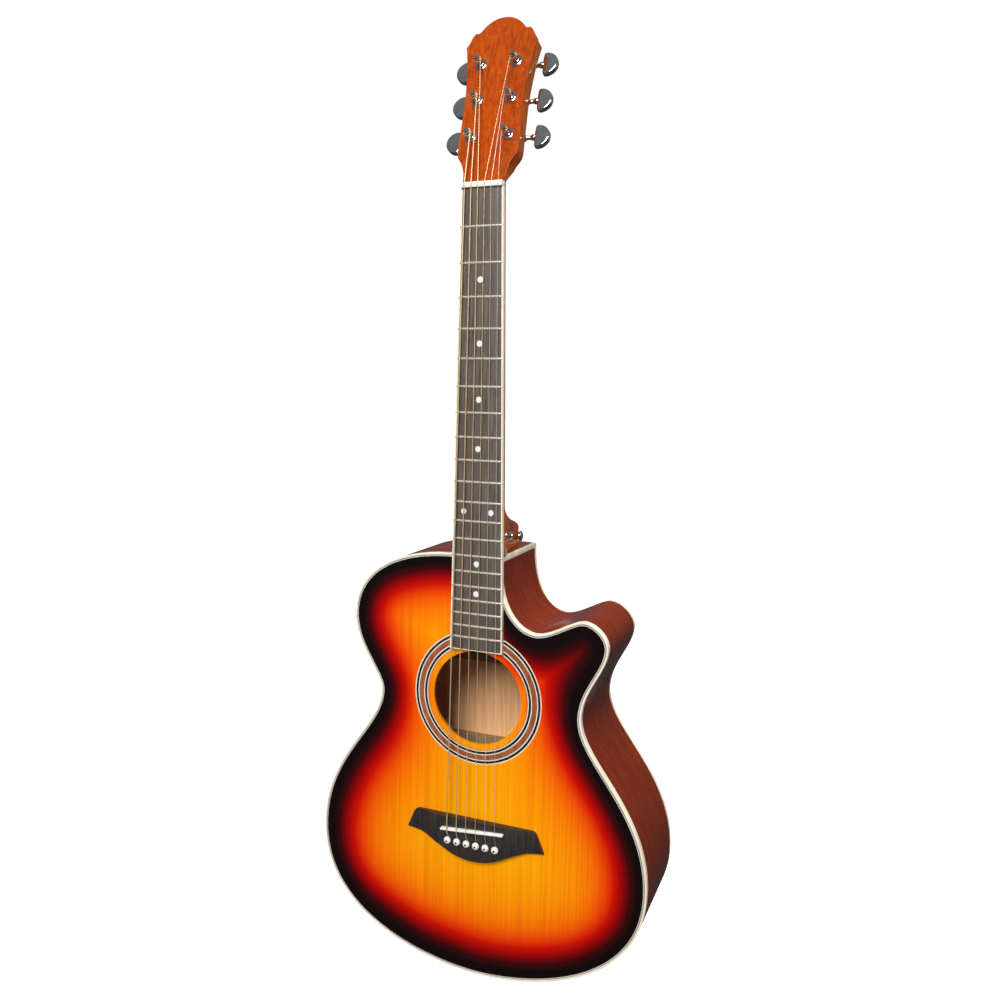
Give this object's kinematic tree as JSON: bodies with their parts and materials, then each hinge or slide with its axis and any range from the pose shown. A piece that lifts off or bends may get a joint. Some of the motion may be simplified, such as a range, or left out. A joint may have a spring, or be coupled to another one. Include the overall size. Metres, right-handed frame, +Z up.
{
  "type": "acoustic guitar",
  "caption": "Steel-string acoustic guitar with a sunburst spruce top, mahogany cutaway body, bound rosewood fingerboard, pinned bridge and geared tuners.",
  "frame": {"origin": "centre of the end pin's outer flat face, the lowest point of the upright guitar", "axes": "+Z up along the neck towards the headstock, -Y out of the soundboard towards the player's audience, +X towards the treble side with the cutaway"},
  "size_m": [0.369, 0.1346, 0.9984],
  "materials": {
    "spruce_top": "high gloss sunburst lacquer",
    "mahogany": "high gloss red-brown lacquer",
    "neck_mahogany": "high gloss amber-red lacquer",
    "head_face": "high gloss orange-red lacquer",
    "rosewood": "oiled, open grain",
    "bridge_wood": "oiled, dark",
    "cream_binding": "polished",
    "rosette_wood": "inlaid rings under lacquer",
    "inner_wood": "bare, sanded",
    "bone_white": "polished",
    "chrome": "mirror",
    "bronze_wound": "wound wire",
    "plain_steel": "drawn wire",
    "rod_steel": "plain",
    "rod_brass": "plain"
  },
  "bodies": {
    "guitar_body": {"soundboard": "spruce_top", "rosette": "rosette_wood", "back_plate": "mahogany", "front_binding": "cream_binding", "back_binding": "cream_binding", "bass_side": "mahogany", "treble_side": "mahogany", "cutaway_corner_binding": "cream_binding", "front_lining": "inner_wood", "back_lining": "inner_wood", "neck_block": "inner_wood", "tail_block": "inner_wood", "x_brace_bass": "inner_wood", "x_brace_treble": "inner_wood", "upper_brace": "inner_wood", "bridge_plate": "inner_wood", "back_brace_1": "inner_wood", "back_brace_2": "inner_wood", "back_brace_3": "inner_wood", "neck": "neck_mahogany", "headstock_veneer": "head_face", "fingerboard": "rosewood", "fingerboard_binding": "cream_binding", "nut": "bone_white", "truss_rod": "rod_steel", "bridge": "bridge_wood", "saddle": "bone_white", "end_pin": "chrome", "strap_button": "chrome", "string_6": "bronze_wound", "string_5": "bronze_wound", "string_4": "bronze_wound", "string_3": "bronze_wound", "string_2": "plain_steel", "string_1": "plain_steel", "tuner_housing_6": "chrome", "tuner_housing_5": "chrome", "tuner_housing_4": "chrome", "tuner_housing_3": "chrome", "tuner_housing_2": "chrome", "tuner_housing_1": "chrome"},
    "key_6": {"tuner_key_6": "chrome"},
    "post_6": {"tuner_post_6": "chrome"},
    "pin_6": {"bridge_pin_6": "bone_white"},
    "key_5": {"tuner_key_5": "chrome"},
    "post_5": {"tuner_post_5": "chrome"},
    "pin_5": {"bridge_pin_5": "bone_white"},
    "key_4": {"tuner_key_4": "chrome"},
    "post_4": {"tuner_post_4": "chrome"},
    "pin_4": {"bridge_pin_4": "bone_white"},
    "key_3": {"tuner_key_3": "chrome"},
    "post_3": {"tuner_post_3": "chrome"},
    "pin_3": {"bridge_pin_3": "bone_white"},
    "key_2": {"tuner_key_2": "chrome"},
    "post_2": {"tuner_post_2": "chrome"},
    "pin_2": {"bridge_pin_2": "bone_white"},
    "key_1": {"tuner_key_1": "chrome"},
    "post_1": {"tuner_post_1": "chrome"},
    "pin_1": {"bridge_pin_1": "bone_white"},
    "rod_nut": {"truss_rod_nut": "rod_brass"}
  },
  "joints": [
    {"name": "key_6_turn", "type": "hinge", "parent": "guitar_body", "child": "key_6", "pos_m": [-0.0194, -0.0287, 0.87809], "axis": [1, 0, 0], "continuous": true},
    {"name": "post_6_turn", "type": "hinge", "parent": "guitar_body", "child": "post_6", "pos_m": [-0.0194, -0.04977, 0.87789], "axis": [0, -0.9613, 0.2756], "continuous": true},
    {"name": "pin_6_pull", "type": "slide", "parent": "guitar_body", "child": "pin_6", "axis": [0, -1, 0], "range_m": [0, 0.03]},
    {"name": "key_5_turn", "type": "hinge", "parent": "guitar_body", "child": "key_5", "pos_m": [-0.0176, -0.01814, 0.9149], "axis": [1, 0, 0], "continuous": true},
    {"name": "post_5_turn", "type": "hinge", "parent": "guitar_body", "child": "post_5", "pos_m": [-0.0176, -0.03921, 0.91471], "axis": [0, -0.9613, 0.2756], "continuous": true},
    {"name": "pin_5_pull", "type": "slide", "parent": "guitar_body", "child": "pin_5", "axis": [0, -1, 0], "range_m": [0, 0.03]},
    {"name": "key_4_turn", "type": "hinge", "parent": "guitar_body", "child": "key_4", "pos_m": [-0.0187, -0.00767, 0.95143], "axis": [1, 0, 0], "continuous": true},
    {"name": "post_4_turn", "type": "hinge", "parent": "guitar_body", "child": "post_4", "pos_m": [-0.0187, -0.02874, 0.95123], "axis": [0, -0.9613, 0.2756], "continuous": true},
    {"name": "pin_4_pull", "type": "slide", "parent": "guitar_body", "child": "pin_4", "axis": [0, -1, 0], "range_m": [0, 0.03]},
    {"name": "key_3_turn", "type": "hinge", "parent": "guitar_body", "child": "key_3", "pos_m": [0.0187, -0.00767, 0.95143], "axis": [1, 0, 0], "continuous": true},
    {"name": "post_3_turn", "type": "hinge", "parent": "guitar_body", "child": "post_3", "pos_m": [0.0187, -0.02874, 0.95123], "axis": [0, -0.9613, 0.2756], "continuous": true},
    {"name": "pin_3_pull", "type": "slide", "parent": "guitar_body", "child": "pin_3", "axis": [0, -1, 0], "range_m": [0, 0.03]},
    {"name": "key_2_turn", "type": "hinge", "parent": "guitar_body", "child": "key_2", "pos_m": [0.0176, -0.01814, 0.9149], "axis": [1, 0, 0], "continuous": true},
    {"name": "post_2_turn", "type": "hinge", "parent": "guitar_body", "child": "post_2", "pos_m": [0.0176, -0.03921, 0.91471], "axis": [0, -0.9613, 0.2756], "continuous": true},
    {"name": "pin_2_pull", "type": "slide", "parent": "guitar_body", "child": "pin_2", "axis": [0, -1, 0], "range_m": [0, 0.03]},
    {"name": "key_1_turn", "type": "hinge", "parent": "guitar_body", "child": "key_1", "pos_m": [0.0194, -0.0287, 0.87809], "axis": [1, 0, 0], "continuous": true},
    {"name": "post_1_turn", "type": "hinge", "parent": "guitar_body", "child": "post_1", "pos_m": [0.0194, -0.04977, 0.87789], "axis": [0, -0.9613, 0.2756], "continuous": true},
    {"name": "pin_1_pull", "type": "slide", "parent": "guitar_body", "child": "pin_1", "axis": [0, -1, 0], "range_m": [0, 0.03]},
    {"name": "rod_nut_turn", "type": "hinge", "parent": "guitar_body", "child": "rod_nut", "pos_m": [0, -0.0515, 0.4177], "axis": [0, 0, 1], "range_deg": [-180, 180]}
  ],
  "couplings": [
    {"joint": "post_6_turn", "follows": "key_6_turn", "ratio": 0.066667},
    {"joint": "post_5_turn", "follows": "key_5_turn", "ratio": 0.066667},
    {"joint": "post_4_turn", "follows": "key_4_turn", "ratio": 0.066667},
    {"joint": "post_3_turn", "follows": "key_3_turn", "ratio": 0.066667},
    {"joint": "post_2_turn", "follows": "key_2_turn", "ratio": 0.066667},
    {"joint": "post_1_turn", "follows": "key_1_turn", "ratio": 0.066667}
  ]
}
